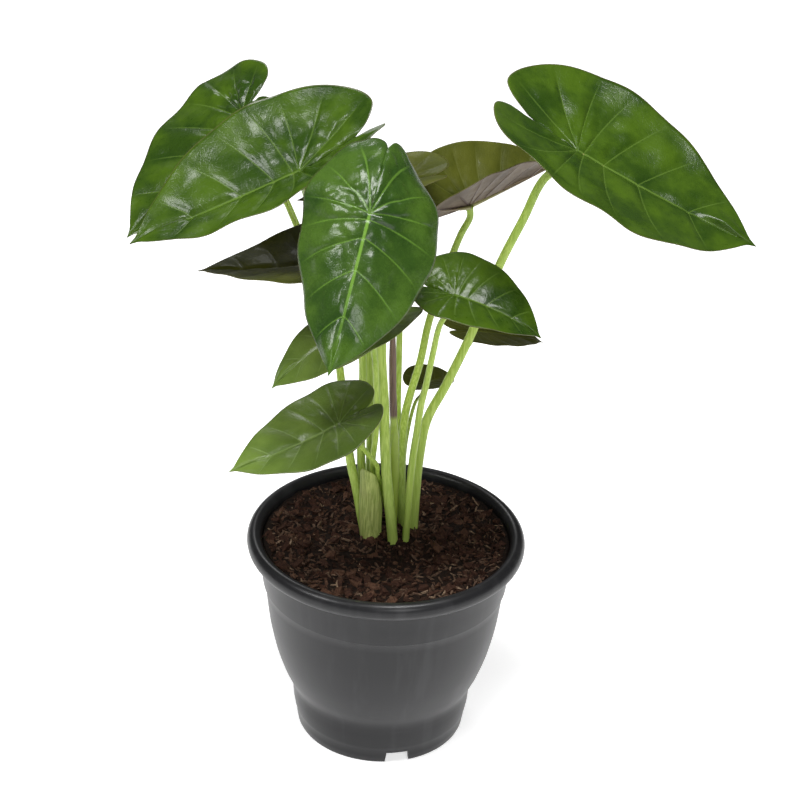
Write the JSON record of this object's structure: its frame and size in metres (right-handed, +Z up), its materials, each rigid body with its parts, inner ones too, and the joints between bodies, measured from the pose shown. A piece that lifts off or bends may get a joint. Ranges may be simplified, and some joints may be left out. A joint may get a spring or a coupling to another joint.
{
  "type": "potted foliage plant",
  "caption": "Live foliage plant with glossy arrow-shaped leaf blades on upright stalks, rooted in bark mix in a round tapered nursery pot with a rolled rim.",
  "frame": {"origin": "centre of the pot's base, on the ground it stands on", "axes": "+Z up; -Y towards the front of the plant; +X to its right seen from the front"},
  "size_m": [0.4275, 0.3128, 0.4889],
  "materials": {
    "pot_plastic": "satin black moulded plastic",
    "potting_mix": "moist loose bark chips and fibre",
    "rootstock": "rough",
    "leaf_blade": "glossy green above, dull purple-brown below",
    "leaf_stalk": "smooth yellow-green",
    "young_leaf": "smooth brown-purple"
  },
  "bodies": {
    "root": {"pot": "pot_plastic", "potting_mix": "potting_mix", "corm": "rootstock", "blade_left_back": "leaf_blade", "blade_left": "leaf_blade", "blade_front": "leaf_blade", "blade_left_mid": "leaf_blade", "blade_left_low": "leaf_blade", "blade_front_low": "leaf_blade", "blade_right_low": "leaf_blade", "blade_right": "leaf_blade", "blade_back_right": "leaf_blade", "blade_back_left": "leaf_blade", "blade_right_under": "leaf_blade", "blade_back_low": "leaf_blade", "stalk_left_back": "leaf_stalk", "stalk_left": "leaf_stalk", "stalk_front": "leaf_stalk", "stalk_left_mid": "leaf_stalk", "stalk_left_low": "leaf_stalk", "stalk_front_low": "leaf_stalk", "stalk_right_low": "leaf_stalk", "stalk_right": "leaf_stalk", "stalk_back_right": "leaf_stalk", "stalk_back_left": "leaf_stalk", "stalk_right_under": "leaf_stalk", "stalk_back_low": "leaf_stalk", "new_leaf": "young_leaf"}
  },
  "joints": []
}
